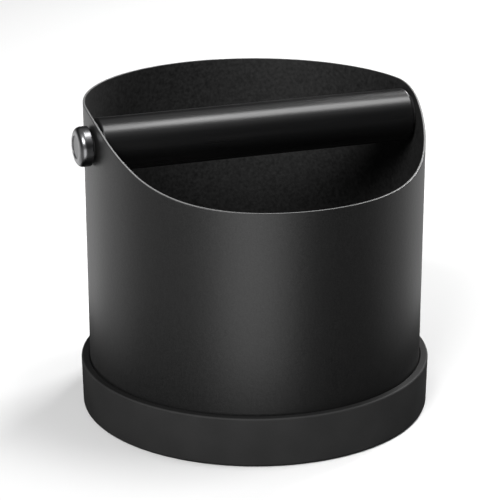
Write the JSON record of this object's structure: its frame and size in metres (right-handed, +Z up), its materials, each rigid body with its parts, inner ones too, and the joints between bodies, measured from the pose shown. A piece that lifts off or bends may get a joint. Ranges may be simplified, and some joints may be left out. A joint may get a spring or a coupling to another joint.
{
  "type": "espresso knock box",
  "caption": "Round counter-top knock box: a powder-coated steel drum with a low front lip and a high back rim, a rubber-sleeved cross bar held by a headed rod and a screw knob, and a rubber boot as its base.",
  "frame": {"origin": "centre of the boot's underside, on the surface that the box stands on", "axes": "+Z up along the drum's axis, -Y towards the low front lip, X along the cross bar with the knob on the -X side"},
  "size_m": [0.1606, 0.1578, 0.1405],
  "materials": {
    "powder_coat": "matt black powder coat with a fine grain",
    "boot_rubber": "matt dark grey rubber",
    "sleeve_rubber": "satin black rubber",
    "washer_rubber": "matt black rubber",
    "nylon": "matt black nylon",
    "steel": "turned and brushed steel",
    "dark_chrome": "polished dark chrome",
    "disc_chrome": "satin dark chrome, turned face"
  },
  "bodies": {
    "boot": {"base_boot": "boot_rubber"},
    "drum": {"drum": "powder_coat", "headed_rod": "steel", "left_spacer": "nylon", "right_spacer": "nylon", "head_washer": "washer_rubber"},
    "bar": {"bar_tube": "steel", "bar_sleeve": "sleeve_rubber", "left_end_plug": "nylon", "right_end_plug": "nylon"},
    "knob_washer": {"knob_washer": "washer_rubber"},
    "knob": {"knob": "dark_chrome", "knob_disc": "disc_chrome"}
  },
  "joints": [
    {"name": "drum_lift", "type": "slide", "parent": "boot", "child": "drum", "axis": [0, 0, 1], "range_m": [0, 0.02]},
    {"name": "bar_turn", "type": "hinge", "parent": "drum", "child": "bar", "pos_m": [0, 0, 0.1262], "axis": [1, 0, 0], "continuous": true},
    {"name": "knob_travel", "type": "slide", "parent": "drum", "child": "knob_washer", "axis": [-1, 0, 0], "range_m": [0, 0.004]},
    {"name": "knob_turn", "type": "hinge", "parent": "knob_washer", "child": "knob", "pos_m": [-0.079, 0, 0.1262], "axis": [-1, 0, 0], "range_deg": [0, 1440]}
  ],
  "couplings": [
    {"joint": "knob_turn", "follows": "knob_travel", "rad_per_m": 6283.2}
  ]
}
